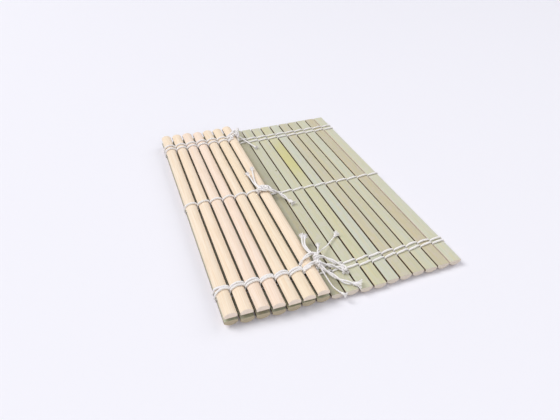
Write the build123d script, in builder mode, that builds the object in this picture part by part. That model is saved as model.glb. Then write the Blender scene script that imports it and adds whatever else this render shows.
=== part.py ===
"""Bamboo rolling mat, lying flat with one side folded over on itself.

Frame: +Z up, +X across the mat from the fold to the free edge, +Y along the slats.
The origin is on the surface that the mat lies on, under the middle of its outline.
Every length is in millimetres.
"""

from build123d import *
from math import asin, atan2, cos, radians, sin, tan
import os

# The mat
slat_count = 24
flap_count = 7
slat_gap = 0.9

# One slat: flat skin side, short straight sides, rounded inner side
slat_length = 240.0
slat_width = 9.1
slat_thickness = 4.0
slat_wall = 1.0

# Sawn ends, which don't line up: near and far end of each slat, from the free edge on
end_scatter = 1.5
near_end_shares = (0.60, 0.33, 0.10, 0.22, -0.07, -0.33, -1.00, -0.93, -0.44, -0.20, 0.00, 0.05)
near_end_shares += (-0.40, -0.48, 0.00, 0.26, 1.10, 1.00, 0.80, 0.25, -0.50, -0.85, -0.70, 0.00)
far_end_shares = (0.45, 0.50, 0.35, 0.10, -0.10, -0.15, -0.40, -0.55, -0.30, 0.10, -0.20, 0.15)
far_end_shares += (-0.25, 0.05, 0.30, -0.10, 0.20, 0.80, 0.50, 0.30, -0.50, -0.25, -0.20, 1.00)

# Twine rows, from each end of the slats, and one across the middle
twine_diameter = 1.0
twine_spread = 1.2
strand_step = 1.5
row_inset = 21.0
row_pair = 6.0

# Fits
twine_seat = 0.1
gap_clearance = 0.1
layer_clearance = 0.3

# Facets that round the twine: along its edges, and where it dives into a gap
twine_bevel = 0.3
twine_corner = 0.55

# Sides of the faceted twine round the back of a slat, outside and against the wood
outer_chords = 5
inner_chords = 3

# Knots at the flap's free edge: length and radius, and how far each lies from the middle of its rows
near_knot_length = 10.0
near_knot_radius = 1.9
near_knot_shift = 1.0
middle_knot_length = 9.0
middle_knot_radius = 1.3
middle_knot_shift = 1.6
far_knot_length = 7.0
far_knot_radius = 1.7
far_knot_shift = 2.5
knot_clearance = 0.2
knot_lean = 43.0
knot_sides = 8
full_turn = 360

# Swell of a knot along its axis: places and radii, as shares of its half length and radius
station_shares = (-1.0, -0.7, -0.36, 0.0, 0.36, 0.7, 1.0)
swell_shares = (0.55, 0.95, 0.72, 1.0, 0.72, 0.95, 0.55)

# Loose ends: a doubled strand, a single one and one ply of it
doubled_diameter = 1.3
strand_diameter = 1.0
ply_diameter = 0.8

# Share of the shorter run that an arc takes, and area of a hexagon beside its diameter squared
arc_share = 0.45
hexagon_share = 0.6495

# Routes of the loose ends, from inside their knot outwards, measured from the middle of the knot
near_stub_route = ((-0.1, 1.9, 0.7), (2.9, 9.5, 1.8), (5.3, 14.8, 1.4))
far_stub_route = ((-0.6, 0.8, 0.8), (2.6, 9.1, 0.3), (6.6, 15.3, -1.1))
near_back_route = (
    (-0.4, 3.8, 0.5),
    (-0.9, 10.5, 0.1),
    (-0.8, 17.1, -0.8),
    (-0.1, 23.7, -1.8),
    (1.1, 29.8, -2.8),
)
near_long_route = (
    (0.6, 2.8, 0.4),
    (4.3, 8.0, -0.6),
    (9.8, 13.3, -3.2),
    (15.6, 17.6, -5.4),
    (20.8, 22.6, -6.5),
    (26.3, 27.0, -6.7),
)
near_side_route = (
    (1.3, 2.5, 0.0),
    (5.8, 4.3, -1.0),
    (10.3, 2.2, -3.0),
    (14.5, -1.8, -4.5),
    (17.3, -6.9, -5.5),
)
near_corner_route = (
    (1.1, -2.5, -0.6),
    (4.1, -6.1, -2.5),
    (6.5, -10.2, -4.5),
    (9.7, -15.2, -5.8),
    (14.2, -19.8, -6.3),
    (18.1, -23.4, -6.4),
)
near_fine_route = (
    (0.6, -3.5, -1.0),
    (2.5, -8.4, -3.4),
    (3.1, -14.2, -5.2),
    (3.9, -20.2, -6.2),
    (5.5, -24.9, -6.6),
    (7.8, -28.3, -6.8),
)
middle_back_route = (
    (-3.4, 0.0, -0.1),
    (-4.6, 7.1, -0.9),
    (-5.2, 14.8, -1.8),
    (-4.9, 21.8, -2.1),
    (-4.0, 28.2, -2.1),
)
middle_front_route = (
    (3.6, -0.8, -0.3),
    (7.6, -3.7, -2.7),
    (11.2, -7.4, -5.2),
    (14.0, -12.4, -6.9),
    (15.9, -17.9, -7.6),
)
far_front_route = (
    (0.3, -1.9, -0.1),
    (4.0, -2.1, -2.6),
    (6.8, -6.3, -4.3),
    (9.2, -12.3, -5.6),
    (11.4, -18.4, -6.1),
)
loose_ends = {
    "near_tail_back": ("near_knot", near_back_route, doubled_diameter),
    "near_tail_long": ("near_knot", near_long_route, ply_diameter),
    "near_tail_side": ("near_knot", near_side_route, doubled_diameter),
    "near_tail_corner": ("near_knot", near_corner_route, doubled_diameter),
    "near_tail_fine": ("near_knot", near_fine_route, ply_diameter),
    "middle_tail_back": ("middle_knot", middle_back_route, doubled_diameter),
    "middle_tail_front": ("middle_knot", middle_front_route, doubled_diameter),
    "far_tail_front": ("far_knot", far_front_route, strand_diameter),
}

# Sizes worked out from the ones above
slat_pitch = slat_width + slat_gap
half_width = slat_width / 2
bow = slat_thickness - slat_wall
crown_radius = (half_width**2 + bow**2) / (2 * bow)
crown_angle = asin(half_width / crown_radius)
crown_depth = slat_thickness - crown_radius
lacing_lift = twine_seat + twine_diameter
flat_count = slat_count - flap_count
flat_height = slat_thickness + lacing_lift
layer_gap = 2 * lacing_lift + layer_clearance
flap_height = flat_height + layer_gap
fold_height = flat_height + layer_gap / 2
slant = atan2(strand_step, slat_pitch)
gap_reach = slat_pitch / 2 - gap_clearance
free_reach = half_width + lacing_lift
fold_x = -((flat_count - 0.5) * slat_pitch + free_reach + gap_clearance) / 2
near_ends = [share * end_scatter for share in near_end_shares]
far_ends = [share * end_scatter for share in far_end_shares]
middle_y = (slat_length + min(near_ends) + max(far_ends)) / 2
rows = (
    row_inset - middle_y,
    row_inset + row_pair - middle_y,
    slat_length / 2 - middle_y,
    slat_length - row_inset - row_pair - middle_y,
    slat_length - row_inset - middle_y,
)

os.makedirs("parts", exist_ok=True)


def slat_place(number):
    """Middle of a slat's flat face across the mat, its height, and +1 or -1 as its flat side faces."""
    if number <= flat_count:
        return fold_x + (flat_count - number + 0.5) * slat_pitch, flat_height, 1
    return fold_x + (number - flat_count - 0.5) * slat_pitch, flap_height, -1


def slat_plane(number, y):
    """Plane across a slat: x over its width, y from the flat face to the rounded side."""
    x, height, side = slat_place(number)
    return Plane(origin=(x, y, height), x_dir=(side, 0, 0), z_dir=(0, 1, 0))


def wrap_plane(number, y):
    """The same plane, turned to the slant of a strand that crosses the slat."""
    x, height, side = slat_place(number)
    strand = (side * cos(slant), sin(slant), 0)
    return Plane(origin=(x, y, height), x_dir=strand, z_dir=(-side * sin(slant), cos(slant), 0))


def wrap_outline(lift, side, chords):
    """Section of a slat grown by a lift, faceted round its back and upright at the sides."""
    step = 2 * crown_angle / chords
    corner = (crown_radius + lift) / cos(step / 2)
    back = [crown_angle - step * turn for turn in range(chords + 1)]
    reach = corner * sin(crown_angle)
    deep = crown_depth + corner
    with BuildSketch() as outline:
        with BuildLine():
            bends = [(corner * sin(angle), crown_depth + corner * cos(angle)) for angle in back]
            Polyline((-reach, -lift), (reach, -lift), *bends, close=True)
        make_face()
        with Locations((0, (deep - lift) / 2)):
            Rectangle(2 * side, deep + lift, mode=Mode.INTERSECT)
    return outline.sketch


def twine_wrap(left, right):
    """One wrap of twine round a slat, cut back to what each side leaves room for."""
    depth = slat_thickness + 2 * lacing_lift
    with BuildPart() as wrap:
        with BuildSketch():
            add(wrap_outline(lacing_lift, free_side, outer_chords))
            add(wrap_outline(twine_seat, wood_side, inner_chords), mode=Mode.SUBTRACT)
        extrude(amount=twine_spread / 2, both=True)
        ends = wrap.faces().filter_by(Axis.Z)
        chamfer([edge for end in ends for edge in end.outer_wire().edges()], twine_bevel)
        with BuildSketch():
            with Locations(((right - left) / 2, depth / 2 - lacing_lift)):
                room = Rectangle(left + right, depth)
            chamfer(room.vertices().group_by(Axis.Y)[0], twine_corner)
        extrude(amount=twine_spread, both=True, mode=Mode.INTERSECT)
    return wrap.part


def tube_path(centre, route):
    """Straight runs joined by arcs that are as large as the runs allow, with their radii."""
    points = [centre + Vector(*offset) for offset in route]
    runs = [end - start for start, end in zip(points, points[1:])]
    radii = []
    for run, following in zip(runs, runs[1:]):
        half_turn = radians(run.get_angle(following)) / 2
        radii.append(arc_share * min(run.length, following.length) / tan(half_turn))
    with BuildLine() as path:
        FilletPolyline(*points, radius=radii)
    return path.wire(), radii


def tube_section(path, diameter):
    """Six-sided section of twine at the start of its route."""
    with BuildSketch(Plane(origin=path @ 0, z_dir=path % 0)) as section:
        RegularPolygon(diameter / 2, 6)
    return section.sketch


def knot_outline(centre, axis, turn, length, radius):
    """Outline of a knot's swelling turns of twine, seen square to its axis from one of its flats."""
    side = Vector(0, 0, 1).rotate(Axis((0, 0, 0), axis), turn * full_turn / knot_sides)
    with BuildSketch(Plane(origin=centre, x_dir=axis, z_dir=side)) as outline:
        with BuildLine():
            swell = [
                (station * length / 2, share * radius)
                for station, share in zip(station_shares, swell_shares)
            ]
            Polyline((-length / 2, 0), *swell, (length / 2, 0))
            mirror(about=Plane.XZ)
        make_face()
    return outline.sketch


# Slats
for number in range(1, slat_count + 1):
    near = near_ends[number - 1] - middle_y
    far = slat_length + far_ends[number - 1] - middle_y
    with BuildPart() as slat:
        with BuildSketch(slat_plane(number, near)):
            with BuildLine():
                Polyline((-half_width, slat_wall), (-half_width, 0), (half_width, 0), (half_width, slat_wall))
                ThreePointArc((half_width, slat_wall), (0, slat_thickness), (-half_width, slat_wall))
            make_face()
        extrude(amount=far - near)
    slat.part.label = f"slat_{number:02d}"
    export_step(slat.part, f"parts/slat_{number:02d}.step")

# Lacing: one wrap of twine round the slat in each row, pressed thin where it passes in a gap
wood_side = (half_width + twine_seat) / cos(slant)
gap_side = gap_reach / cos(slant)
free_side = free_reach / cos(slant)
middle_wrap = twine_wrap(gap_side, gap_side)
wraps = {1: twine_wrap(gap_side, free_side), slat_count: twine_wrap(free_side, gap_side)}
for number in range(1, slat_count + 1):
    with BuildPart() as lacing:
        with Locations(*[wrap_plane(number, row).location for row in rows]):
            add(wraps.get(number, middle_wrap))
    lacing.part.label = f"lacing_{number:02d}"
    export_step(lacing.part, f"parts/lacing_{number:02d}.step")

# Knots: they tie off the rows on the rounded side of the flap's last slat
knot_x = fold_x + (flap_count - 0.5) * slat_pitch
bow_height = flap_height + crown_depth
bow_reach = (crown_radius + lacing_lift) / cos(crown_angle / outer_chords) + knot_clearance
lean = radians(knot_lean)
along = Vector(0, 1, 0)
across = Vector(1, 0, 0)


def edge_knot_centre(radius, y):
    """Centre of a knot that sits on the wrap at the shoulder of the last slat."""
    reach = bow_reach + radius
    return Vector(knot_x + reach * sin(lean), y, bow_height + reach * cos(lean))


with BuildPart() as near_knot:
    near_centre = edge_knot_centre(near_knot_radius, (rows[0] + rows[1]) / 2 + near_knot_shift)
    for turn in range(knot_sides // 2):
        outline = knot_outline(near_centre, along, turn, near_knot_length, near_knot_radius)
        extrude(outline, amount=near_knot_radius, both=True, mode=Mode.INTERSECT if turn else Mode.ADD)
    stub, _ = tube_path(near_centre, near_stub_route)
    sweep(tube_section(stub, strand_diameter), path=stub)
near_knot.part.label = "near_knot"
export_step(near_knot.part, "parts/near_knot.step")

with BuildPart() as middle_knot:
    middle_height = flap_height + slat_thickness + lacing_lift + knot_clearance + middle_knot_radius
    middle_centre = Vector(knot_x + middle_knot_shift, rows[2], middle_height)
    for turn in range(knot_sides // 2):
        outline = knot_outline(middle_centre, across, turn, middle_knot_length, middle_knot_radius)
        extrude(outline, amount=middle_knot_radius, both=True, mode=Mode.INTERSECT if turn else Mode.ADD)
middle_knot.part.label = "middle_knot"
export_step(middle_knot.part, "parts/middle_knot.step")

with BuildPart() as far_knot:
    far_centre = edge_knot_centre(far_knot_radius, (rows[3] + rows[4]) / 2 + far_knot_shift)
    for turn in range(knot_sides // 2):
        outline = knot_outline(far_centre, along, turn, far_knot_length, far_knot_radius)
        extrude(outline, amount=far_knot_radius, both=True, mode=Mode.INTERSECT if turn else Mode.ADD)
    stub, _ = tube_path(far_centre, far_stub_route)
    sweep(tube_section(stub, strand_diameter), path=stub)
far_knot.part.label = "far_knot"
export_step(far_knot.part, "parts/far_knot.step")

# Loose ends that leave the knots
centres = {"near_knot": near_centre, "middle_knot": middle_centre, "far_knot": far_centre}
for name, (knot, route, diameter) in loose_ends.items():
    path, radii = tube_path(centres[knot], route)
    with BuildPart() as loose_end:
        sweep(tube_section(path, diameter), path=path)
    loose_end.part.label = name
    export_step(loose_end.part, f"parts/{name}.step")
    steady = hexagon_share * diameter**2 * path.length
    print(f"{name}: length {path.length:.1f}, diameter {diameter}, radii {[round(r, 1) for r in radii]}")
    print(f"  volume {loose_end.part.volume:.2f}, section times length {steady:.2f}")
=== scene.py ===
from math import atan2, cos, pi, radians, sin, tau
from random import Random

import bmesh
import bpy
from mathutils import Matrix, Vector


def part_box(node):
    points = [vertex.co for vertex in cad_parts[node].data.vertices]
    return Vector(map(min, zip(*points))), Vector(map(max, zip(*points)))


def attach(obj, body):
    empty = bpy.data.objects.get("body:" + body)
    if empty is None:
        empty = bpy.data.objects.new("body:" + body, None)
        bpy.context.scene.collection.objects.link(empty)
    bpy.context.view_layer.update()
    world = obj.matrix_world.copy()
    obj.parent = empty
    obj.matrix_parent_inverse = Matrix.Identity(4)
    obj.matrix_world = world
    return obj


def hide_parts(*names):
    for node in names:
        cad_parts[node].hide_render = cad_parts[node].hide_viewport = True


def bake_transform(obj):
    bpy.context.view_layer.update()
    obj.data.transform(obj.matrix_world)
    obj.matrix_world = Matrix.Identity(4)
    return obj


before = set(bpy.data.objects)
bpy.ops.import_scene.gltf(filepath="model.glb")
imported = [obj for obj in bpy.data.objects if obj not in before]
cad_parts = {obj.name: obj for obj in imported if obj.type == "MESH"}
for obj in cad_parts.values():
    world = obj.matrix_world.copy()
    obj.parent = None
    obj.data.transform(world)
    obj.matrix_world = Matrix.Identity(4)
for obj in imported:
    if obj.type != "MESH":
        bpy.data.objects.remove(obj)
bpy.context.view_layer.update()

mm = 0.001
collection = bpy.context.scene.collection

# The photograph's viewpoint
camera_place = Vector((-119.1, -312.2, 230.2)) * mm
camera_target = Vector((-14.5, -22.4, 5.1)) * mm
camera_lens = 31.1
camera_sensor = 36.0

# How many slats the mat has, how many of them lie folded over, and how many of the rest are in sight
slat_count = 24
flap_count = 7
flat_count = slat_count - flap_count
seen_count = 10

# Slats: their straight sides' height, their roundings, and how far, how often and by which seeds they waver
slat_wall = 1.9 * mm
edge_round = 0.35 * mm
end_bevel = 0.22 * mm
bevel_angle = radians(50)
slat_bow = 0.16 * mm
bow_scale = 9.0
bow_seeds = (0, 90)
# The share of its room that a slat fills across, at least and at most
flat_fill = (0.965, 1.0)
flap_fill = (0.92, 0.95)
# Steps of a rounded edge, of the rounded side and along a slat
round_steps = 3
crown_steps = 18
slat_stations = 41
# How squarely a face looks along the slat to be a sawn end, and across it to be a flank
end_facing = 0.8
flank_facing = 0.95

# Twine: its thickness, how thin and how deep it lies in a gap, and its middle's height over the wood
twine_diameter = 1.0 * mm
twine_pinch = 0.9
gap_depth = 0.6 * mm
twine_lift = 0.54 * mm
# How much it swells where it lies free, in sight and hidden under the flap
free_girth = 1.7
hidden_girth = 1.2
# How far two strands part in a gap, and how early a strand on the flat part turns aside
strand_part = 0.78 * mm
early_bend = 1.7
# Half a span over a flat side: distance from the gap in mm, and the share of its full swelling
flat_stops = ((5.0, 1.0), (2.9, 0.95), (1.0, 0.55), (0.12, -0.05))
# Steps of a span round the back, and where it meets the gap: distance from the gap's middle, and height
round_stops = 3
round_end = (0.1 * mm, 0.25 * mm - slat_wall)
# Twine as it is laced across the slats, as it is tied and left loose, and as a frayed end's fibres
laced = {"Across": True, "Step": 0.28 * mm, "Strands": 1, "Diameter": twine_diameter, "Plies": 3}
laced |= {"Groove": 0.2, "Sides": 15}
tied = {"Across": False, "Step": 0.3 * mm, "Plies": 3, "Groove": 0.2, "Sides": 12}
frayed = {"Across": False, "Step": 0.35 * mm, "Strands": 44, "Flare": 2.2, "Fray": 2.4 * mm}
frayed |= {"Diameter": 0.42 * mm, "Plies": 1, "Groove": 0.0, "Turns": 0.5, "Taper": 0.5, "Sides": 5}
# A knot's twine: single, doubled and in a bundle of three
single = tied | {"Strands": 1, "Diameter": 1.4 * mm, "Turns": 4.0}
double = tied | {"Strands": 2, "Diameter": 1.4 * mm, "Turns": 4.0, "Spread": 0.66 * mm, "Strand Turns": 1.2}
triple = tied | {"Strands": 3, "Diameter": 1.3 * mm, "Turns": 3.0, "Spread": 0.75 * mm, "Strand Turns": 1.2}
# The plies' twist through a gap and round the free edge, in turns
gap_turns = 8 / 3
edge_turns = 11 / 3
# What sets a frayed end's strands apart, how often they stray in a metre, and how late they part and thin
strand_lot = 7.3
fray_scale = 260.0
flare_power = 4.0
taper_power = 3.0

# Rows of twine: the outer rows' distance from the middle, and the distance between the two rows of a pair
row_reach = 99.0 * mm
row_pair = 6.0 * mm
rows = (-row_reach, row_pair - row_reach, 0.0, row_reach - row_pair, row_reach)
# How far the two near rows wander on the slats in sight, from the free edge, and on the flap, in mm
near_strays = (
    (0.7, 1.2, 0.6, 0.0, -0.5, -1.2, -1.9, -1.6, -0.9, -0.5),
    (-1.7, -0.8, -0.9, -1.8, -1.9, -2.1, -2.2, -2.3, -2.0, -1.5),
)
flap_strays = (1.1, -2.9)
# How far at most a row slips at random in a gap, and each of its strands over a slat
row_slip = 0.22 * mm
side_slip = 0.3 * mm
slip_seed = 5

# Bamboo tones as they look in plain light, save the painted shade marked below
cream = (0.93, 0.795, 0.65)
pink_cream = (0.93, 0.79, 0.66)
straw = (0.92, 0.785, 0.62)
pale_green = (0.595, 0.605, 0.47)
sage = (0.585, 0.59, 0.45)
grey_green = (0.57, 0.59, 0.48)
olive = (0.555, 0.545, 0.40)
# Painted shadow: the tenth slat's skin, beside the flap's edge, is darkened as if the flap shaded it
flap_shadow_olive = (0.425, 0.415, 0.30)
tan = (0.58, 0.54, 0.39)
pink_tan = (0.555, 0.535, 0.40)
leaf = (0.595, 0.59, 0.41)
ripe_yellow = (0.59, 0.56, 0.25)
# Painted shade in the gaps between slats, put on the flanks that face a neighbour: dark brown on the flat
# part, near black on the flap
flat_flank_shade = (0.14, 0.09, 0.05)
flap_flank_shade = (0.030, 0.018, 0.010)
mark_brown = (0.20, 0.17, 0.10)
speck_brown = (0.16, 0.13, 0.07)
pore_brown = (0.46, 0.34, 0.21)
# The sawn ends of the flap, of the slats in sight beside it, and of the slats under it, which are darkened
# with painted shade
flap_end = (0.885, 0.76, 0.64)
seen_end = (0.725, 0.645, 0.545)
under_end_shade = (0.48, 0.41, 0.285)
# How light the wood and the skins in sight are, how far painted shade darkens the hidden skins, and how much
# slats differ
wood_tone = 0.96
skin_tone = 0.97
hidden_skin_shade = 0.82
skin_spread = (0.95, 1.04)
wood_spread = (0.985, 1.01)
slat_seed = 24

# Each slat's skin and split side, from the free edge to the flap's edge; the tenth skin holds the flap's
# painted shadow
skins = [pale_green, tan, pale_green, olive, pink_tan, grey_green, leaf, sage, sage, flap_shadow_olive, sage, olive]
skins += [leaf, sage, tan, olive, sage, pale_green, sage, olive, sage, pale_green, olive, sage]
woods = [pink_cream, cream, pink_cream, cream, pink_cream, pink_cream, cream, cream]
woods += [pink_cream, cream, cream, cream, pink_cream, cream, cream, pink_cream]
woods += [cream, cream, cream, pink_cream, pink_cream, cream, straw, cream]
# A slat's own stain: its tone, and where along the slat its middle lies and how far it reaches, in mm
stains = {7: (ripe_yellow, 50.0, 46.0)}
no_stain = (sage, -9000.0, 1.0)
# A slat's own small dark mark, in mm
marks = {9: (2.3, 34.4, 5.1)}
no_mark = (0.0, 0.0, -9000.0)
mark_edge = (0.4 * mm, 1.1 * mm, 0.85, 0.0)

# The middle of a noise's values
noise_middle = 0.5
# Bamboo's grain: how often each pattern changes in a metre across, along and through a slat
fine_grain = (2600.0, 34.0, 2600.0)
broad_grain = (420.0, 9.0, 420.0)
speck_grain = (900.0, 260.0, 900.0)
mottle_grain = (380.0, 150.0, 380.0)
pore_grain = (2300.0, 0.0, 2300.0)
# Between which values of a pattern, a depth or a distance an effect changes, and from what to what strength
wood_streaks = (0.42, 0.66, 0.0, 1.0)
wood_bands = (0.52, 0.70, 0.0, 0.4)
specks = (0.76, 0.86, 0.0, 0.35)
pores = (0.16, 0.34, 1.0, 0.0)
pore_density = (0.2 * mm, 3.6 * mm, 0.6, 0.2)
stain_edge = (0.1, 1.0, 0.9, 0.0)
skin_relief = (0.0, 1.0, 1.0, 0.45)
# The skin's patterns, each with its strength and its tint of the skin's own tone
skin_patterns = (
    ("Band", (0.40, 0.64, 0.0, 1.0), (1.05, 0.985, 0.88)),
    ("Streak", (0.48, 0.66, 0.0, 0.85), (0.88, 0.90, 0.90)),
    ("Mottle", (0.48, 0.66, 0.0, 0.8), (1.03, 0.98, 1.08)),
)
wood_shade = (0.93, 0.86, 0.77)
# The skin's thickness with its ragged lower edge, and the roughness and relief of skin and wood
skin_depth = (0.08 * mm, 0.22 * mm, 1.0, 0.0)
skin_ragged = 0.2 * mm
skin_rough = 0.42
wood_rough = 0.62
streak_rough = 0.12
bamboo_relief = {"Strength": 0.35, "Distance": 0.06 * mm}

# Cotton: its tones, how often its fibres and patches change in a metre, and where each tone lies
cotton_white = (0.98, 0.965, 0.93)
cotton_cool = (0.95, 0.925, 0.945)
# Painted shade in the grooves between the plies
cotton_groove_shade = (0.60, 0.56, 0.62)
cotton_shade = (0.74, 0.71, 0.73)
fibre_scale = 5200.0
patch_scale = 420.0
cotton_patches = (0.35, 0.7, 0.0, 1.0)
cotton_groove_shading = (0.25, 0.95, 0.0, 0.65)
cotton_fibres = (0.5, 0.75, 0.0, 0.15)
cotton_relief = {"Strength": 0.5, "Distance": 0.05 * mm}

# Surroundings: the floor, the background's light on the mat and as it is seen, and the lamps
floor_tone = (0.845, 0.845, 0.91)
floor_half = 2.5
world_tone = (0.93, 0.94, 1.0)
world_light = 0.34
world_seen = 0.96
# Each lamp's name, place, side, power in watts and colour
lamps = (
    ("key", (-2.7, 1.5, 3.9), 2.7, 166.0, (1.0, 0.985, 0.965)),
    ("side fill", (2.6, 0.4, 2.2), 2.4, 24.0, (1.0, 0.985, 0.965)),
    ("front fill", (0.3, -2.2, 1.7), 2.4, 25.0, (1.0, 0.98, 0.95)),
)


def slat_name(number):
    return f"slat_{number:02d}"


# Sizes taken from the frame
slat_low, slat_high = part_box(slat_name(1))
slat_width = slat_high.x - slat_low.x
slat_thickness = slat_high.z - slat_low.z
flat_height = slat_high.z
flap_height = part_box(slat_name(slat_count))[0].z
slat_x = {n: sum((corner.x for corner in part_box(slat_name(n))), 0.0) / 2 for n in range(1, slat_count + 1)}
pitch = slat_x[1] - slat_x[2]
fold_x = slat_x[flat_count] - pitch / 2
crown_rise = slat_thickness - slat_wall
crown_radius = ((slat_width / 2) ** 2 + crown_rise**2) / (2 * crown_rise)
crown_spread = atan2(slat_width / 2, crown_radius - crown_rise)


# Objects

def add_object(name, data):
    """A new object in the scene."""
    thing = bpy.data.objects.new(name, data)
    collection.objects.link(thing)
    return thing


def drop(helper):
    """Removes a helper object."""
    bpy.data.objects.remove(helper)


def evaluated_mesh(thing):
    """A plain mesh of an object as its modifiers or its curve make it."""
    bpy.context.view_layer.update()
    return bpy.data.meshes.new_from_object(thing.evaluated_get(bpy.context.evaluated_depsgraph_get()))


def aim(thing, place, target):
    """Puts a camera or a lamp at a place, looking at a target."""
    thing.location = place
    thing.rotation_euler = (target - place).to_track_quat("-Z", "Y").to_euler()


def make_camera():
    camera = add_object("camera", bpy.data.cameras.new("camera"))
    camera.data.lens = camera_lens
    camera.data.sensor_width = camera_sensor
    aim(camera, camera_place, camera_target)
    bpy.context.scene.camera = camera


# Node trees

def put(tree, kind, inputs=(), **settings):
    """Adds a node. Its inputs are values, or the sockets that feed them, by name or place."""
    node = tree.nodes.new(kind)
    for key, value in settings.items():
        setattr(node, key, value)
    for key, value in dict(inputs).items():
        if isinstance(value, bpy.types.NodeSocket):
            tree.links.new(value, node.inputs[key])
        else:
            node.inputs[key].default_value = value
    return node


def sums(tree, operation, *values, clamp=False):
    """Output of a Math node."""
    return put(tree, "ShaderNodeMath", enumerate(values), operation=operation, use_clamp=clamp).outputs[0]


def vectors(tree, operation, *values):
    """Output of a Vector Math node."""
    return put(tree, "ShaderNodeVectorMath", enumerate(values), operation=operation).outputs[0]


def scaled(tree, vector, share):
    """A vector times a value."""
    return put(tree, "ShaderNodeVectorMath", {0: vector, "Scale": share}, operation="SCALE").outputs[0]


def part_of(tree, vector, axis):
    """One of a vector's three parts."""
    return put(tree, "ShaderNodeSeparateXYZ", {0: vector}).outputs[axis]


def ramp(tree, value, low, high, start, end):
    """A value's run from low to high, eased at both ends, as start to end."""
    settings = {"Value": value, "From Min": low, "From Max": high, "To Min": start, "To Max": end}
    return put(tree, "ShaderNodeMapRange", settings, interpolation_type="SMOOTHSTEP").outputs[0]


def mixed(tree, share, first, second, blend="MIX"):
    """Two colours mixed by a share."""
    inputs = {0: share, 6: first, 7: second}
    return put(tree, "ShaderNodeMix", inputs, data_type="RGBA", blend_type=blend).outputs[2]


def opaque(tone):
    """A tone as a colour socket takes it."""
    return (*tone, 1.0)


def tinted(tree, colour, tint):
    """A colour multiplied by a tint."""
    return mixed(tree, 1.0, colour, opaque(tint), "MULTIPLY")


def noise(tree, vector, scale=1.0, detail=2.0, roughness=0.5, **inputs):
    """A noise texture's outputs over a vector."""
    settings = {"Vector": vector, "Scale": scale, "Detail": detail, "Roughness": roughness}
    dimensions = "4D" if inputs else "3D"
    return put(tree, "ShaderNodeTexNoise", settings | inputs, noise_dimensions=dimensions).outputs


def swayed(tree, colour):
    """A noise's colour as a vector that points either way."""
    return vectors(tree, "SUBTRACT", colour, (noise_middle,) * 3)


def attribute(tree, name):
    """A value that the mesh keeps under a name."""
    return put(tree, "ShaderNodeAttribute", attribute_name=name).outputs["Fac"]


def new_tree(name, kind, inputs, outputs):
    """A node group with named sockets, and the outputs of its input node."""
    tree = bpy.data.node_groups.new(name, kind)
    for label, socket in inputs.items():
        tree.interface.new_socket(label, in_out="INPUT", socket_type="NodeSocket" + socket)
    for label, socket in outputs.items():
        tree.interface.new_socket(label, in_out="OUTPUT", socket_type="NodeSocket" + socket)
    return tree, tree.nodes.new("NodeGroupInput").outputs


def finish_tree(tree, **outputs):
    """Links the group's outputs."""
    end = tree.nodes.new("NodeGroupOutput")
    for label, socket in outputs.items():
        tree.links.new(socket, end.inputs[label])


# Geometry trees

def position(tree):
    return put(tree, "GeometryNodeInputPosition").outputs[0]


def spline_part(tree):
    """How far along its spline a point lies, from 0 to 1."""
    return put(tree, "GeometryNodeSplineParameter").outputs["Factor"]


def faces_along(tree, axis, least):
    """1 on the faces that look along an axis, either way."""
    facing = part_of(tree, put(tree, "GeometryNodeInputNormal").outputs[0], axis)
    return sums(tree, "GREATER_THAN", sums(tree, "ABSOLUTE", facing), least)


def stored(tree, geometry, name, value, domain="POINT"):
    """Geometry that keeps a value under a name, for its material to read."""
    inputs = {"Geometry": geometry, "Name": name, "Value": value}
    return put(tree, "GeometryNodeStoreNamedAttribute", inputs, data_type="FLOAT", domain=domain).outputs[0]


def end_tree(tree, geometry, material):
    """Ends a geometry tree with real geometry in its material."""
    whole = put(tree, "GeometryNodeRealizeInstances", {"Geometry": geometry})
    dressed = put(tree, "GeometryNodeSetMaterial", {"Geometry": whole.outputs[0], "Material": material})
    finish_tree(tree, Geometry=dressed.outputs[0])


def grow(name, tree, inputs):
    """A plain mesh object grown by a geometry tree from its named inputs."""
    piece = add_object(name, bpy.data.meshes.new(name))
    modifier = piece.modifiers.new("grow", "NODES")
    modifier.node_group = tree
    sockets = {item.name: item.identifier for item in tree.interface.items_tree if item.in_out == "INPUT"}
    for label, value in inputs.items():
        modifier[sockets[label]] = value
    settle(piece)
    return piece


def settle(piece):
    """Applies a piece's modifiers."""
    piece.data = evaluated_mesh(piece)
    piece.modifiers.clear()


def bowed_line(tree, given):
    """A slat's middle line, which wavers a little across and in height."""
    line = put(tree, "GeometryNodeCurvePrimitiveLine", {"Start": given["Near"], "End": given["Far"]})
    steps = {"Curve": line.outputs[0], "Count": slat_stations}
    even = put(tree, "GeometryNodeResampleCurve", steps, mode="COUNT")
    along = vectors(tree, "MULTIPLY", position(tree), (0.0, 1.0, 0.0))
    waver = noise(tree, along, bow_scale, detail=1.0, roughness=0.4, W=given["Seed"])
    sway = vectors(tree, "MULTIPLY", swayed(tree, waver["Color"]), (1.0, 0.0, 1.0))
    moved = {"Geometry": even.outputs[0], "Offset": scaled(tree, sway, given["Bow"])}
    return put(tree, "GeometryNodeSetPosition", moved).outputs[0]


def slat_outline(tree, given):
    """A slat's section at its own width, which keeps each point's depth below the flat side."""
    section = put(tree, "GeometryNodeObjectInfo", {"Object": given["Section"], "As Instance": False})
    across = put(tree, "ShaderNodeCombineXYZ", {"X": given["Width"], "Y": 1.0, "Z": 1.0}).outputs[0]
    outline = put(tree, "GeometryNodeTransform", {"Geometry": section.outputs["Geometry"], "Scale": across})
    return stored(tree, outline.outputs[0], "depth", part_of(tree, position(tree), "Y"))


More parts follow.
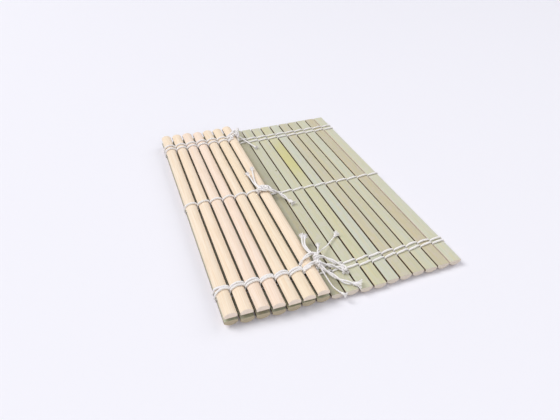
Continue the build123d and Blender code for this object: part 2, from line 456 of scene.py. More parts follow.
def slat_tree():
    """A slat from its near to its far end: a section swept along a line with a slight bow."""
    sizes = {"Near": "Vector", "Far": "Vector", "Section": "Object", "Turn": "Float"}
    sizes |= {"Width": "Float", "Bow": "Float", "Seed": "Float", "Material": "Material"}
    tree, given = new_tree("bamboo slat", "GeometryNodeTree", sizes, {"Geometry": "Geometry"})
    level = put(tree, "GeometryNodeSetCurveNormal", {"Curve": bowed_line(tree, given)}, mode="Z_UP")
    turned = put(tree, "GeometryNodeSetCurveTilt", {"Curve": level.outputs[0], "Tilt": given["Turn"]})
    sweep = {"Curve": turned.outputs[0], "Profile Curve": slat_outline(tree, given), "Fill Caps": True}
    body = put(tree, "GeometryNodeCurveToMesh", sweep).outputs[0]
    body = stored(tree, body, "end", faces_along(tree, "Y", end_facing), "FACE")
    # Faces that look across are the flanks, which the material darkens with painted shade
    body = stored(tree, body, "flank", faces_along(tree, "X", flank_facing), "FACE")
    end_tree(tree, body, given["Material"])
    return tree


def even_path(tree, given):
    """The path's splines in even steps. No lacing runs along Y, so Y steadies its plies."""
    path = put(tree, "GeometryNodeObjectInfo", {"Object": given["Path"], "As Instance": False})
    steps = {"Curve": path.outputs["Geometry"], "Length": given["Step"]}
    even = put(tree, "GeometryNodeResampleCurve", steps, mode="LENGTH").outputs[0]
    steady = put(tree, "GeometryNodeSetCurveNormal", {"Curve": even, "Normal": (0.0, 1.0, 0.0)}, mode="FREE")
    choice = {"Switch": given["Across"], "False": even, "True": steady.outputs[0]}
    return put(tree, "GeometryNodeSwitch", choice).outputs[0]


def strand_offset(tree, given, part, index):
    """How far a strand's point lies from the path: round it, further out and more astray towards the end."""
    start = sums(tree, "MULTIPLY", sums(tree, "DIVIDE", index, given["Strands"]), tau)
    swing = sums(tree, "MULTIPLY_ADD", sums(tree, "MULTIPLY", part, given["Strand Turns"]), tau, start)
    normal = put(tree, "GeometryNodeInputNormal").outputs[0]
    tangent = put(tree, "GeometryNodeInputTangent").outputs[0]
    turn = {"Vector": normal, "Axis": tangent, "Angle": swing}
    outwards = put(tree, "ShaderNodeVectorRotate", turn, rotation_type="AXIS_ANGLE").outputs[0]
    late = sums(tree, "POWER", part, flare_power)
    reach = sums(tree, "MULTIPLY", given["Spread"], sums(tree, "MULTIPLY_ADD", late, given["Flare"], 1.0))
    lots = sums(tree, "MULTIPLY_ADD", index, strand_lot, given["Seed"])
    stray = swayed(tree, noise(tree, position(tree), fray_scale, detail=1.0, W=lots)["Color"])
    stray = scaled(tree, stray, sums(tree, "MULTIPLY", given["Fray"], part))
    return vectors(tree, "ADD", scaled(tree, outwards, reach), stray)


def laid_strands(tree, given):
    """Strands laid round the path, with a twist for their plies."""
    copies = {"Geometry": even_path(tree, given), "Amount": given["Strands"]}
    strands = put(tree, "GeometryNodeDuplicateElements", copies, domain="SPLINE")
    index = strands.outputs["Duplicate Index"]
    part = spline_part(tree)
    moved = {"Geometry": strands.outputs[0], "Offset": strand_offset(tree, given, part, index)}
    laid = put(tree, "GeometryNodeSetPosition", moved)
    twist = sums(tree, "MULTIPLY_ADD", sums(tree, "MULTIPLY", part, given["Turns"]), tau, index)
    return put(tree, "GeometryNodeSetCurveTilt", {"Curve": laid.outputs[0], "Tilt": twist}).outputs[0]


def ply_profile(tree, given):
    """A strand's section: a round with a groove between each two plies."""
    circle = {"Resolution": given["Sides"], "Radius": 0.5}
    ring = put(tree, "GeometryNodeCurvePrimitiveCircle", circle, mode="RADIUS")
    lobes = sums(tree, "MULTIPLY", sums(tree, "MULTIPLY", spline_part(tree), given["Plies"]), pi)
    hollow = sums(tree, "SUBTRACT", 1.0, sums(tree, "ABSOLUTE", sums(tree, "COSINE", lobes)))
    grooved = stored(tree, ring.outputs[0], "groove", hollow)
    kept = sums(tree, "SUBTRACT", 1.0, sums(tree, "MULTIPLY", hollow, given["Groove"]))
    girth = sums(tree, "MULTIPLY", kept, given["Diameter"])
    shaped = {"Geometry": grooved, "Position": scaled(tree, position(tree), girth)}
    return put(tree, "GeometryNodeSetPosition", shaped).outputs[0]


def twine_tree():
    """Twine along every spline of a path: strands laid round each other, each with its twisted plies."""
    sizes = {"Path": "Object", "Across": "Bool", "Material": "Material"}
    sizes |= dict.fromkeys(("Strands", "Plies", "Sides"), "Int")
    sizes |= dict.fromkeys(("Step", "Spread", "Strand Turns", "Flare", "Fray", "Seed"), "Float")
    sizes |= dict.fromkeys(("Diameter", "Groove", "Turns", "Taper"), "Float")
    tree, given = new_tree("twine", "GeometryNodeTree", sizes, {"Geometry": "Geometry"})
    strands = laid_strands(tree, given)
    late = sums(tree, "POWER", spline_part(tree), taper_power)
    thin = sums(tree, "SUBTRACT", 1.0, sums(tree, "MULTIPLY", given["Taper"], late))
    thin = sums(tree, "MULTIPLY", thin, put(tree, "GeometryNodeInputRadius").outputs[0])
    sweep = {"Curve": strands, "Profile Curve": ply_profile(tree, given), "Scale": thin, "Fill Caps": True}
    body = put(tree, "GeometryNodeCurveToMesh", sweep)
    soft = put(tree, "GeometryNodeSetShadeSmooth", {"Geometry": body.outputs[0]})
    end_tree(tree, soft.outputs[0], given["Material"])
    return tree


# Materials

def grain_group():
    """Bamboo's long fibres: fine streaks, broad bands, small specks and a faint mottle."""
    outputs = {"Streak": "Float", "Band": "Float", "Speck": "Float", "Mottle": "Float"}
    tree, given = new_tree("bamboo grain", "ShaderNodeTree", {"Vector": "Vector"}, outputs)

    def pattern(grain, **looks):
        return noise(tree, vectors(tree, "MULTIPLY", given["Vector"], grain), **looks)[0]

    finish_tree(
        tree,
        Streak=pattern(fine_grain, detail=3.0, roughness=0.6),
        Band=pattern(broad_grain),
        Speck=ramp(tree, pattern(speck_grain, detail=1.0), *specks),
        Mottle=pattern(mottle_grain, detail=3.0, roughness=0.6),
    )
    return tree


def wood_colour(tree, given, fibres):
    """Split wood with darker fibres, and the painted shade of its flanks in the gaps between slats."""
    shaded = tinted(tree, given["Wood"], wood_shade)
    wood = mixed(tree, ramp(tree, fibres["Streak"], *wood_streaks), given["Wood"], shaded)
    wood = mixed(tree, ramp(tree, fibres["Band"], *wood_bands), wood, shaded)
    return mixed(tree, attribute(tree, "flank"), wood, given["Flank Shade"])


def skin_colour(tree, given, fibres):
    """Green skin with its bands, streaks and mottle, and its stain, mark and specks."""
    skin = given["Skin"]
    for pattern, strength, tint in skin_patterns:
        skin = mixed(tree, ramp(tree, fibres[pattern], *strength), skin, tinted(tree, given["Skin"], tint))
    along = part_of(tree, given["Vector"], "Y")
    away = sums(tree, "ABSOLUTE", sums(tree, "SUBTRACT", along, given["Stain Place"]))
    away = sums(tree, "DIVIDE", away, given["Stain Reach"])
    away = sums(tree, "ADD", away, sums(tree, "SUBTRACT", fibres["Band"], noise_middle))
    skin = mixed(tree, ramp(tree, away, *stain_edge), skin, given["Stain"])
    away = put(tree, "ShaderNodeVectorMath", {0: given["Vector"], 1: given["Mark"]}, operation="DISTANCE")
    skin = mixed(tree, ramp(tree, away.outputs["Value"], *mark_edge), skin, opaque(mark_brown))
    return mixed(tree, fibres["Speck"], skin, opaque(speck_brown))


def end_colour(tree, given, depth):
    """A sawn end with its pores, which lie denser towards the skin."""
    place = vectors(tree, "MULTIPLY", given["Vector"], pore_grain)
    cells = put(tree, "ShaderNodeTexVoronoi", {"Scale": 1.0, "Vector": place}).outputs["Distance"]
    pored = sums(tree, "MULTIPLY", ramp(tree, cells, *pores), ramp(tree, depth, *pore_density))
    return mixed(tree, pored, given["Cut"], tinted(tree, given["Cut"], pore_brown))


def bamboo_group(grain):
    """A slat's colour, roughness and relief: skin on its flat side, split wood elsewhere, pored ends."""
    inputs = {"Vector": "Vector", "Skin": "Color", "Wood": "Color", "Flank Shade": "Color", "Cut": "Color"}
    inputs |= {"Stain": "Color", "Stain Place": "Float", "Stain Reach": "Float", "Mark": "Vector"}
    outputs = {"Color": "Color", "Roughness": "Float", "Height": "Float"}
    tree, given = new_tree("bamboo", "ShaderNodeTree", inputs, outputs)
    fibres = put(tree, "ShaderNodeGroup", {"Vector": given["Vector"]}, node_tree=grain).outputs
    depth = attribute(tree, "depth")
    uneven = sums(tree, "SUBTRACT", fibres["Band"], noise_middle)
    ragged = sums(tree, "MULTIPLY_ADD", uneven, skin_ragged, depth)
    skinned = ramp(tree, ragged, *skin_depth)
    side = mixed(tree, skinned, wood_colour(tree, given, fibres), skin_colour(tree, given, fibres))
    colour = mixed(tree, attribute(tree, "end"), side, end_colour(tree, given, depth))
    rough = sums(tree, "MULTIPLY_ADD", skinned, skin_rough - wood_rough, wood_rough)
    rough = sums(tree, "MULTIPLY_ADD", fibres["Streak"], streak_rough, rough)
    relief = sums(tree, "MULTIPLY", fibres["Streak"], ramp(tree, skinned, *skin_relief))
    finish_tree(tree, Color=colour, Roughness=rough, Height=relief)
    return tree


def new_material(name, sockets):
    """A material with values on its shader's own sockets, its node tree and its shader's inputs."""
    material = bpy.data.materials.new(name)
    material.use_nodes = True
    inputs = material.node_tree.nodes["Principled BSDF"].inputs
    for label, value in sockets.items():
        inputs[label].default_value = value
    return material, material.node_tree, inputs


def bamboo_material(number, group, tones):
    """A slat's own bamboo, with its stain and its mark where it has them."""
    material, tree, inputs = new_material(f"bamboo_{number:02d}", {"Specular IOR Level": 0.35})
    stain, middle, reach = stains.get(number, no_stain)
    values = {label: opaque(tone) for label, tone in tones.items()}
    values |= {"Stain": opaque(stain), "Stain Place": middle * mm, "Stain Reach": reach * mm}
    values |= {"Mark": Vector(marks.get(number, no_mark)) * mm}
    values |= {"Vector": put(tree, "ShaderNodeTexCoord").outputs["Object"]}
    bamboo = put(tree, "ShaderNodeGroup", values, node_tree=group).outputs
    relief = put(tree, "ShaderNodeBump", bamboo_relief | {"Height": bamboo["Height"]})
    tree.links.new(bamboo["Color"], inputs["Base Color"])
    tree.links.new(bamboo["Roughness"], inputs["Roughness"])
    tree.links.new(relief.outputs[0], inputs["Normal"])
    return material


def twine_material():
    """White cotton with painted shade in the grooves between its plies, and fine fibres round them."""
    sockets = {"Roughness": 0.88, "Specular IOR Level": 0.2, "Sheen Weight": 0.25}
    material, tree, inputs = new_material("cotton twine", sockets)
    place = put(tree, "ShaderNodeTexCoord").outputs["Object"]
    fibre = noise(tree, place, fibre_scale, detail=3.0, roughness=0.65)[0]
    patch = noise(tree, place, patch_scale)[0]
    cotton = mixed(tree, ramp(tree, patch, *cotton_patches), opaque(cotton_white), opaque(cotton_cool))
    # Painted shade in the grooves between the plies
    grooves = ramp(tree, attribute(tree, "groove"), *cotton_groove_shading)
    cotton = mixed(tree, grooves, cotton, opaque(cotton_groove_shade))
    cotton = mixed(tree, ramp(tree, fibre, *cotton_fibres), cotton, opaque(cotton_shade))
    relief = put(tree, "ShaderNodeBump", cotton_relief | {"Height": fibre})
    tree.links.new(cotton, inputs["Base Color"])
    tree.links.new(relief.outputs[0], inputs["Normal"])
    return material


# Slats

def slat_section():
    """Section of a slat: x across it, y from the flat side to the rounded one."""
    corner = [pi / 2 * step / round_steps for step in range(round_steps + 1)]
    inset = slat_width / 2 - edge_round
    right = [(inset + edge_round * sin(angle), edge_round - edge_round * cos(angle)) for angle in corner]
    turns = [crown_spread * (1 - 2 * step / crown_steps) for step in range(crown_steps + 1)]
    middle = slat_thickness - crown_radius
    crown = [(crown_radius * sin(angle), middle + crown_radius * cos(angle)) for angle in turns]
    left = [(-x, y) for x, y in reversed(right)]
    outline = right + crown + left
    data = bpy.data.curves.new("slat section", "CURVE")
    spline = data.splines.new("POLY")
    spline.points.add(len(outline) - 1)
    for point, (x, y) in zip(spline.points, outline):
        point.co = (x, y, 0, 1)
    spline.use_cyclic_u = True
    return add_object("slat section", data)


def slat_tones(number, draw):
    """The tones of a slat's skin, split wood, flanks and sawn ends. The flanks carry painted shade, and so do
    the hidden skins and the ends under the flap.
    """
    flat_up = number <= flat_count
    in_sight = number <= seen_count
    # Skins out of sight, under the flap and on its underside, are darkened with painted shade
    tone = draw.uniform(*skin_spread) * (skin_tone if in_sight else hidden_skin_shade)
    wood = [channel * wood_tone * draw.uniform(*wood_spread) for channel in woods[number - 1]]
    # A flank that faces a neighbour gets painted shade; the free edge's slat and the flap's first slat keep
    # the wood's tone on both flanks
    flank = flat_flank_shade if flat_up else flap_flank_shade
    if number in (1, flat_count + 1):
        flank = wood
    # The ends under the flap are darkened with painted shade
    cut = seen_end if in_sight else under_end_shade if flat_up else flap_end
    skin = [channel * tone for channel in skins[number - 1]]
    return {"Skin": skin, "Wood": wood, "Flank Shade": flank, "Cut": cut}


def ease_ends(slat):
    """Takes the sharpness off a slat's sawn ends."""
    bevel = slat.modifiers.new("bevel", "BEVEL")
    bevel.width = end_bevel
    bevel.segments = 2
    bevel.limit_method = "ANGLE"
    bevel.angle_limit = bevel_angle
    settle(slat)


def make_slats():
    """Every slat, in its own tones, on its own body."""
    draw = Random(slat_seed)
    section = slat_section()
    tree = slat_tree()
    group = bamboo_group(grain_group())
    for number in range(1, slat_count + 1):
        name = slat_name(number)
        low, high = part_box(name)
        flat_up = number <= flat_count
        height = high.z if flat_up else low.z
        tones = slat_tones(number, draw)
        sizes = {"Near": (slat_x[number], low.y, height), "Far": (slat_x[number], high.y, height)}
        sizes |= {"Section": section, "Turn": 0.0 if flat_up else pi, "Bow": slat_bow}
        sizes["Seed"] = draw.uniform(*bow_seeds)
        sizes["Width"] = draw.uniform(*(flat_fill if flat_up else flap_fill))
        sizes |= {"Material": bamboo_material(number, group, tones)}
        slat = grow(f"{name}_bamboo", tree, sizes)
        ease_ends(slat)
        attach(slat, name)
        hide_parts(name)
    drop(section)


# Twine along a route

def curve_object(routes, cyclic=False):
    """A curve with one smooth NURBS spline for each route, whose points may have a thickness of their own."""
    data = bpy.data.curves.new("path", "CURVE")
    data.dimensions = "3D"
    for route in routes:
        spline = data.splines.new("NURBS")
        spline.points.add(len(route) - 1)
        for point, place in zip(spline.points, route):
            point.co = (*place[:3], 1)
            point.radius = place[3] if len(place) > 3 else 1.0
        spline.order_u = 3
        spline.resolution_u = 10
        spline.use_endpoint_u = not cyclic
        spline.use_cyclic_u = cyclic
    return add_object("path", data)


def line_of(route):
    """Points along a route's smooth line."""
    path = curve_object([route])
    line = [vertex.co.copy() for vertex in evaluated_mesh(path).vertices]
    drop(path)
    return line


def strand_piece(name, tree, material, routes, looks, cyclic=False):
    """A piece of twine along its routes."""
    path = curve_object(routes, cyclic)
    piece = grow(name, tree, {"Path": path, "Material": material} | looks)
    drop(path)
    return piece


# Lacing

slip = Random(slip_seed)
all_rows = range(len(rows))
row_slips = {(n, row): slip.uniform(-row_slip, row_slip) for n in range(slat_count + 1) for row in all_rows}
side_slips = {
    (n, row, side): slip.uniform(-side_slip, side_slip)
    for n in range(slat_count + 1) for row in all_rows for side in (1, -1)
}


def row_place(number, row):
    """Where a row crosses a slat. The near rows wander, and lie closer together on the flap."""
    stray = 0.0
    if row < len(near_strays) and number > flat_count:
        stray = flap_strays[row]
    elif row < len(near_strays) and 1 <= number <= seen_count:
        stray = near_strays[row][number - 1]
    return rows[row] + stray * mm


def lie(u, y, w, girth=1.0):
    """Where a point of the unrolled mat lies: u from the fold to the free edge, w out of the flat side."""
    if u >= 0:
        return Vector((fold_x + u, y, flat_height + w, girth))
    return Vector((fold_x - u, y, flap_height - w, girth))


def flat_half(sign, girth):
    """Half a span over the flat side, from the slat's middle to the gap: distance along, height and girth."""
    swellings = [(along, 1 + share * (girth - 1)) for along, share in flat_stops]
    return [(sign * along * mm, twine_lift * swelling, swelling) for along, swelling in swellings]


def round_half(sign, girth):
    """Half a span round the back of a slat, from its middle to the gap."""
    reach = crown_radius + twine_lift * (girth + 1) / 2
    half_step = crown_spread / round_stops / 2
    middle = crown_radius - slat_thickness
    points = [(sign * pitch / 2, middle - reach, girth)]
    for stop in range(round_stops):
        angle = half_step * (2 * stop + 1)
        along = pitch / 2 - reach * sin(angle) / cos(half_step)
        points.append((sign * along, middle - reach * cos(angle) / cos(half_step), girth))
    points.append((sign * round_end[0], round_end[1], twine_pinch))
    return points


def half_span(number, flat_side, sign):
    """Half a span over a slat, swollen where it lies free and thin where the mat presses it."""
    if not flat_side:
        return round_half(sign, free_girth if number > flat_count else 1.0)
    if number <= seen_count:
        return flat_half(sign, free_girth)
    return flat_half(sign, hidden_girth if number <= flat_count else 1.0)


def gap_strand(number, row, dives):
    """One strand through a gap, from the middle of its fold-side slat to the middle of the next one."""
    side = 1 if dives else -1
    middle = (flat_count - number) * pitch
    gap_y = (row_place(number, row) + row_place(number + 1, row)) / 2 + row_slips[number, row]
    before = row_place(number + 1, row) + side_slips[number + 1, row, side]
    after = row_place(number, row) + side_slips[number, row, -side]
    points = [(*point, before, early_bend) for point in half_span(number + 1, dives, -1)]
    points.append((0.0, -gap_depth, twine_pinch, gap_y, 1.0))
    points += [(*point, after, 1 / early_bend) for point in reversed(half_span(number, not dives, 1))]
    route = []
    for along, lift, girth, rest, bend in points:
        share = min(1.0, abs(along) / (pitch / 2)) ** (bend if number < flat_count else 1.0)
        y = (gap_y + side * strand_part) * (1 - share) + rest * share
        route.append((middle + along, y, lift, girth))
    return route


# How near to the fold a strand lies on a layer, and a diving strand's turn from the flap down, in X and Z
fold_clear = 0.3 * mm
fold_middle = (flap_height + flat_height) / 2
fold_turn = (
    (fold_x - 0.35 * mm, flap_height - 0.5 * mm),
    (fold_x - 0.55 * mm, fold_middle - 0.3 * mm),
    (fold_x - 0.1 * mm, flat_height - 0.7 * mm),
)


def fold_route(route, dives):
    """A strand round the fold: it lies on each layer, and bulges past the slats' edges between."""
    first = [lie(*point) for point in route if point[0] <= -fold_clear]
    second = [lie(*point) for point in route if point[0] >= fold_clear]
    y = (first[-1].y + second[0].y) / 2
    turn = fold_turn if dives else [(x, 2 * fold_middle - z) for x, z in reversed(fold_turn)]
    return first + [Vector((x, y, z, 1.0)) for x, z in turn] + second


def make_lacing(tree, material):
    """The twine through each gap, which bends with the slats on its two sides."""
    for number in range(1, slat_count):
        routes = []
        for row in all_rows:
            for dives in (True, False):
                route = gap_strand(number, row, dives)
                folded = number == flat_count
                routes.append(fold_route(route, dives) if folded else [lie(*point) for point in route])
        twine = strand_piece(f"twine_{number + 1:02d}", tree, material, routes, laced | {"Turns": gap_turns})
        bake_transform(twine)
        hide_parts(f"lacing_{number + 1:02d}")


# The turn round the free edge: how far it drifts along the slat over it and under it
edge_drift = (0.4 * mm, -0.3 * mm)
# Its outermost points: distance past its reach, height, and distance along the slat
edge_turn = ((-0.15 * mm, twine_lift - 0.03 * mm, 0.2 * mm), (0.0, -0.7 * mm, -0.1 * mm))


def edge_route(row):
    """A row's turn round the free edge, from the middle of the first slat's flat side to its back's."""
    reach = slat_width / 2 + twine_lift
    y = row_place(1, row)
    over, under = y + side_slips[1, row, 1], y + side_slips[1, row, -1]
    above = [(pitch / 2 - along, lift, girth) for along, lift, girth in half_span(1, True, 1)[:-1]]
    below = [(pitch / 2 - along, lift, girth) for along, lift, girth in half_span(1, False, 1)[-2::-1]]
    route = [(*point, over + edge_drift[0] * point[0] / reach) for point in above]
    route += [(reach + out, lift, 1.0, y + aside) for out, lift, aside in edge_turn]
    route += [(*point, under + edge_drift[1] * point[0] / reach) for point in below]
    middle = (flat_count - 0.5) * pitch
    return [lie(middle + along, across, lift, girth) for along, lift, girth, across in route]


def make_edge(tree, material):
    """The doubled twine that turns round the free edge of the first slat."""
    routes = [edge_route(row) for row in all_rows]
    twine = strand_piece("twine_01", tree, material, routes, laced | {"Turns": edge_turns})
    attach(twine, slat_name(1))
    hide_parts("lacing_01")


# Knots and loose ends

def placed(points, start=Vector((0.0, 0.0, 0.0))):
    """Points written in millimetres from a start."""
    return [start + Vector(point) * mm for point in points]


# The near and far knots' middles, and the routes of the loose ends from there, as in the model
near_knot = Vector((-14.70, -95.0, 12.73)) * mm
far_knot = Vector((-14.84, 98.5, 12.59)) * mm
near_stub_route = ((1.0, 2.6, 0.6), (4.6, 8.4, 1.6), (6.4, 13.0, 1.3))
far_stub_route = ((-0.6, 0.8, 0.8), (1.4, 5.6, 0.9), (2.6, 8.8, 0.6))
near_long_route = (
    (0.6, 2.8, 0.4), (4.3, 8.0, -0.6), (9.8, 13.3, -3.2),
    (15.6, 17.6, -5.3), (20.8, 22.6, -6.1), (26.3, 27.0, -6.0),
)

# What each knot is tied from, in mm. A turn is its middle, its direction, and its reach across and in height
knots = {
    "near_knot": {
        "rows": (0, 1),
        "ropes": (
            ((-25.3, -92.0, 8.6), (-24.3, -91.0, 10.9), (-22.3, -89.6, 12.5), (-19.0, -88.2, 13.2),
             (-15.8, -87.2, 13.7), (-13.0, -87.7, 14.0), (-12.4, -90.4, 13.4), (-13.4, -93.5, 12.6)),
            ((-25.2, -98.6, 8.6), (-24.1, -97.8, 10.9), (-22.1, -96.9, 12.4), (-18.8, -96.0, 13.0),
             (-15.8, -95.1, 13.5), (-13.4, -95.2, 13.2), (-12.8, -97.6, 12.2)),
        ),
        "bundle": ((-13.2, -88.6, 13.6), (-14.0, -92.0, 13.9), (-14.5, -95.6, 13.4), (-14.4, -99.4, 12.4)),
        "turns": (
            ((-13.9, -91.6, 13.7), (0.2, 1.0, 0.15), 1.75, 1.65),
            ((-14.3, -93.3, 13.6), (-0.1, 1.0, 0.1), 1.7, 1.6),
            ((-14.4, -97.3, 12.9), (0.25, 1.0, 0.3), 1.75, 1.6),
        ),
        "stub": placed(near_stub_route, near_knot),
    },
    "middle_knot": {
        "rows": (2,),
        "ropes": (
            ((-25.4, -0.6, 8.8), (-25.6, -0.2, 11.2), (-24.6, 0.9, 12.9), (-21.6, 2.6, 13.9),
             (-18.6, 1.6, 14.1), (-16.0, -1.4, 13.7), (-14.6, -3.8, 12.6)),
            ((-27.4, -0.4, 12.6), (-24.2, -1.6, 13.2), (-20.6, -2.9, 13.5), (-17.4, -4.1, 13.3),
             (-14.2, -5.2, 12.4)),
        ),
        "bundle": ((-25.0, 0.2, 13.1), (-21.6, 0.0, 13.6), (-18.2, -1.4, 13.7), (-15.2, -3.6, 12.9)),
        "turns": (
            ((-21.4, -0.1, 13.6), (1.0, 0.1, 0.0), 2.4, 1.5),
            ((-17.6, -1.8, 13.5), (1.0, -0.7, 0.0), 2.3, 1.5),
        ),
        "stub": None,
    },
    "far_knot": {
        "rows": (3, 4),
        "ropes": (
            ((-25.3, 93.4, 8.6), (-24.1, 94.3, 10.9), (-21.9, 95.9, 12.4), (-18.8, 98.0, 13.0),
             (-16.0, 100.6, 13.4), (-14.2, 102.4, 13.2)),
            ((-25.3, 99.4, 8.6), (-24.1, 100.1, 10.9), (-21.8, 101.2, 12.5), (-18.6, 103.2, 13.2),
             (-16.0, 105.6, 13.5), (-13.8, 105.0, 13.2), (-13.7, 101.6, 12.8), (-14.7, 98.4, 12.6)),
        ),
        "bundle": ((-13.8, 103.6, 13.3), (-14.8, 100.4, 13.4), (-15.2, 97.0, 12.9), (-14.9, 94.4, 12.0)),
        "turns": (
            ((-14.8, 100.9, 13.2), (0.1, 1.0, 0.1), 1.7, 1.55),
            ((-15.1, 97.6, 12.9), (-0.2, 1.0, 0.2), 1.65, 1.5),
        ),
        "stub": placed(far_stub_route, far_knot),
    },
}
# How many points a turn round a knot has
ring_corners = 8
# How deep a fringe starts inside its strand and where it leaves it, and what sets fringes apart
fringe_root = (1.5 * mm, 0.2 * mm)
fringe_lot = 3.1
# A stub's fringe: its width, length and seed
stub_fringe = (1.0 * mm, 1.6 * mm, 5)
# The strand that passes under the last slat: how far it runs level from the slat's middle
under_level = 2.4 * mm
# Its turn up the slat's free side: distance past the edge, share of the way to the knot, and height, in mm
under_turn = ((-0.4, 0.0, -0.56), (0.5, 0.0, -0.19), (0.62, 0.3, 1.7), (0.5, 0.7, 3.2))

# Kinds of loose end: strands, their thickness in mm, and their plies
single_end = (1, 1.4, 3)
double_end = (2, 1.3, 3)
fine_end = (1, 1.0, 2)
# Each loose end: its kind, how far its strands part, its fringe's width and length in mm, and its routes
loose_ends = {
    "near_tail_back": (single_end, 0.0, 1.3, 1.8, (
        placed(((-15.8, -88.0, 13.6), (-17.2, -83.4, 13.5), (-17.2, -76.4, 12.8), (-15.8, -71.4, 12.3),
                (-14.2, -67.0, 12.0))),
        placed(((-14.9, -88.2, 13.4), (-15.7, -83.8, 13.3), (-15.8, -76.8, 12.4), (-14.2, -72.0, 12.0),
                (-12.2, -67.8, 11.6))),
    )),
    "near_tail_side": (double_end, 0.4, 1.5, 1.8, (
        placed(((-14.0, -91.8, 13.2), (-9.6, -90.4, 12.4), (-5.4, -93.2, 10.6), (-1.2, -96.6, 8.8),
                (2.6, -99.6, 7.5), (3.6, -101.8, 7.0), (2.6, -103.8, 6.8))),
        placed(((-14.0, -96.4, 12.6), (-10.8, -97.2, 11.0), (-6.6, -97.6, 9.0), (-2.8, -99.2, 7.9),
                (0.4, -101.2, 7.4), (1.4, -103.4, 7.0))),
    )),
    "near_tail_corner": (double_end, 0.8, 2.2, 4.0, (
        placed(((-14.2, -98.2, 12.4), (-12.6, -101.6, 11.0), (-9.4, -104.6, 9.0), (-5.4, -110.4, 7.4),
                (-1.6, -114.4, 6.7), (3.2, -117.0, 6.5))),
    )),
    "near_tail_fine": (fine_end, 0.0, 1.0, 1.8, (
        placed(((-14.5, -98.2, 12.0), (-13.4, -102.6, 9.8), (-12.5, -107.6, 7.9), (-11.6, -114.6, 6.5),
                (-9.4, -119.6, 6.0), (-7.4, -122.2, 5.9))),
    )),
    "middle_tail_back": (single_end, 0.0, 1.2, 2.6, (
        placed(((-23.8, 0.2, 13.5), (-25.2, 4.2, 13.2), (-25.7, 12.6, 12.5), (-25.6, 20.6, 12.2),
                (-26.2, 24.4, 12.3))),
        placed(((-22.8, 0.8, 13.7), (-24.8, 5.6, 13.5), (-24.0, 14.6, 12.8), (-22.2, 23.8, 12.6),
                (-20.9, 30.6, 12.8))),
    )),
    "middle_tail_front": (double_end, 0.9, 1.5, 3.0, (
        placed(((-16.2, -3.6, 13.3), (-12.2, -5.8, 11.3), (-8.6, -6.0, 9.2), (-5.4, -11.0, 7.3),
                (-3.0, -17.0, 6.7))),
    )),
    "far_tail_front": (single_end, 0.0, 1.2, 2.8, (
        placed(((-14.9, 96.4, 12.4), (-12.0, 94.6, 10.4), (-9.4, 91.6, 8.6), (-6.2, 86.6, 7.2),
                (-3.2, 80.4, 6.6))),
    )),
    "near_tail_long": (fine_end, 0.0, 1.5, 3.0, (placed(near_long_route, near_knot),)),
}
# How far a double end's strands lie from its middle, and the length of a turn of strands and of plies
end_spread = 0.62 * mm
strand_lay = 19 * mm
ply_lay = 4.2 * mm


def ring(middle, axis, across, high):
    """A turn of twine round a knot: its middle, the knot's direction, and its reach across and in height."""
    forward = Vector(axis).normalized()
    side = forward.cross(Vector((0, 0, 1))).normalized()
    rise = side.cross(forward)
    grown = mm / cos(pi / ring_corners)
    turns = [tau * corner / ring_corners for corner in range(ring_corners)]
    corners = [side * across * cos(turn) + rise * high * sin(turn) for turn in turns]
    return [Vector(middle) * mm + corner * grown for corner in corners]


def ride_last(piece, node=None):
    """A piece of twine on the flap's last slat, in place of a node."""
    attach(piece, slat_name(slat_count))
    if node:
        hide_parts(node)


def join(name, pieces):
    """One mesh object from several, which share their material."""
    whole = bmesh.new()
    for piece in pieces:
        whole.from_mesh(piece.data)
    mesh = bpy.data.meshes.new(name)
    whole.to_mesh(mesh)
    whole.free()
    mesh.materials.append(pieces[0].data.materials[0])
    for piece in pieces:
        drop(piece)
    return add_object(name, mesh)


def under_span(row, end):
    """A row's strand that passes under the last slat and up its free side, to where it meets a knot."""
    x = slat_x[slat_count]
    edge = x + slat_width / 2
    under = rows[row] + side_slips[slat_count, row, 1]
    low = flap_height - twine_lift
    end = Vector(end) * mm
    points = [Vector((x, under, low)), Vector((x + under_level, under, low))]
    for out, share, rise in under_turn:
        points.append(Vector((edge + out * mm, under + (end.y - under) * share, flap_height + rise * mm)))
    return points + [end]


def fringe(name, tree, material, points, width, length, seed):
    """Frayed fibres at the end of a strand, which start inside it."""
    end = points[-1]
    ahead = (points[-1] - points[0]).normalized()
    root, leave = fringe_root
    route = [end - ahead * root, end - ahead * leave, end + ahead * length / 2, end + ahead * length]
    return strand_piece(name, tree, material, [route], frayed | {"Spread": width / 2, "Seed": seed})


def make_knots(tree, material):
    """Each knot, joined from its ropes, bundle, turns, spans and stub."""
    for name, knot in knots.items():
        turns = [ring(*turn) for turn in knot["turns"]]
        spans = [under_span(row, knot["bundle"][1 + row % 2]) for row in knot["rows"]]
        pieces = [
            strand_piece(name, tree, material, [placed(rope) for rope in knot["ropes"]], double),
            strand_piece(name, tree, material, [placed(knot["bundle"])], triple),
            strand_piece(name, tree, material, turns, single, cyclic=True),
            strand_piece(name, tree, material, spans, single | {"Across": True}),
        ]
        if knot["stub"]:
            pieces.append(strand_piece(name, tree, material, [knot["stub"]], single))
            pieces.append(fringe(name, tree, material, knot["stub"][-2:], *stub_fringe))
        ride_last(join(f"{name}_twine", pieces), name)


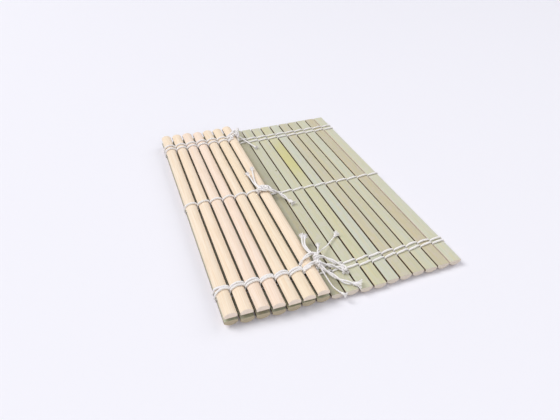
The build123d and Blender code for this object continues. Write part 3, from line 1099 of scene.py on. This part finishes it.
def make_loose_ends(tree, material):
    """The ends of the twine that leave the knots, double or single, each with a frayed tip."""
    for lot, (name, (kind, flare, width, brush, routes)) in enumerate(loose_ends.items()):
        strands, girth, plies = kind
        line = line_of(routes[0])
        length = sum((end - start).length for start, end in zip(line, line[1:]))
        looks = {"Strands": strands, "Spread": end_spread * (strands - 1), "Flare": flare, "Plies": plies}
        looks |= {"Diameter": girth * mm, "Strand Turns": length / strand_lay, "Turns": length / ply_lay}
        tail = strand_piece(f"{name}_twine", tree, material, routes, tied | looks)
        size = (width * mm, brush * mm)
        ends = [route[-2:] for route in routes]
        tips = [fringe(name, tree, material, end, *size, lot * fringe_lot + end[0].x) for end in ends]
        tip = join(f"{name}_fringe", tips)
        ride_last(tail, name)
        ride_last(tip)


# Surroundings

def make_floor():
    sockets = {"Base Color": opaque(floor_tone), "Roughness": 0.9, "Specular IOR Level": 0.1}
    corners = [(x * floor_half, y * floor_half, 0) for x, y in ((-1, -1), (1, -1), (1, 1), (-1, 1))]
    mesh = bpy.data.meshes.new("floor")
    mesh.from_pydata(corners, [], [(0, 1, 2, 3)])
    mesh.materials.append(new_material("pale floor", sockets)[0])
    add_object("floor", mesh)


def make_world():
    """A background that is seen pale, by itself and in reflections, and lights the mat less than that."""
    world = bpy.data.worlds.new("studio")
    bpy.context.scene.world = world
    world.use_nodes = True
    tree = world.node_tree
    back = tree.nodes["Background"].inputs
    back["Color"].default_value = opaque(world_tone)
    rays = put(tree, "ShaderNodeLightPath").outputs
    seen = sums(tree, "ADD", rays["Is Camera Ray"], rays["Is Glossy Ray"], clamp=True)
    seen = sums(tree, "ADD", seen, rays["Is Transmission Ray"], clamp=True)
    tree.links.new(sums(tree, "MULTIPLY_ADD", seen, world_seen - world_light, world_light), back["Strength"])


def make_lamps():
    for name, place, size, power, colour in lamps:
        lamp = bpy.data.lights.new(name, "AREA")
        lamp.shape = "SQUARE"
        lamp.size = size
        lamp.energy = power
        lamp.color = colour
        aim(add_object(name, lamp), Vector(place), Vector((0, 0, 0)))


make_camera()
strand_tree = twine_tree()
cotton = twine_material()
make_loose_ends(strand_tree, cotton)
make_knots(strand_tree, cotton)
make_edge(strand_tree, cotton)
make_lacing(strand_tree, cotton)
make_slats()
make_floor()
make_world()
make_lamps()
bpy.context.scene.view_settings.view_transform = "Standard"
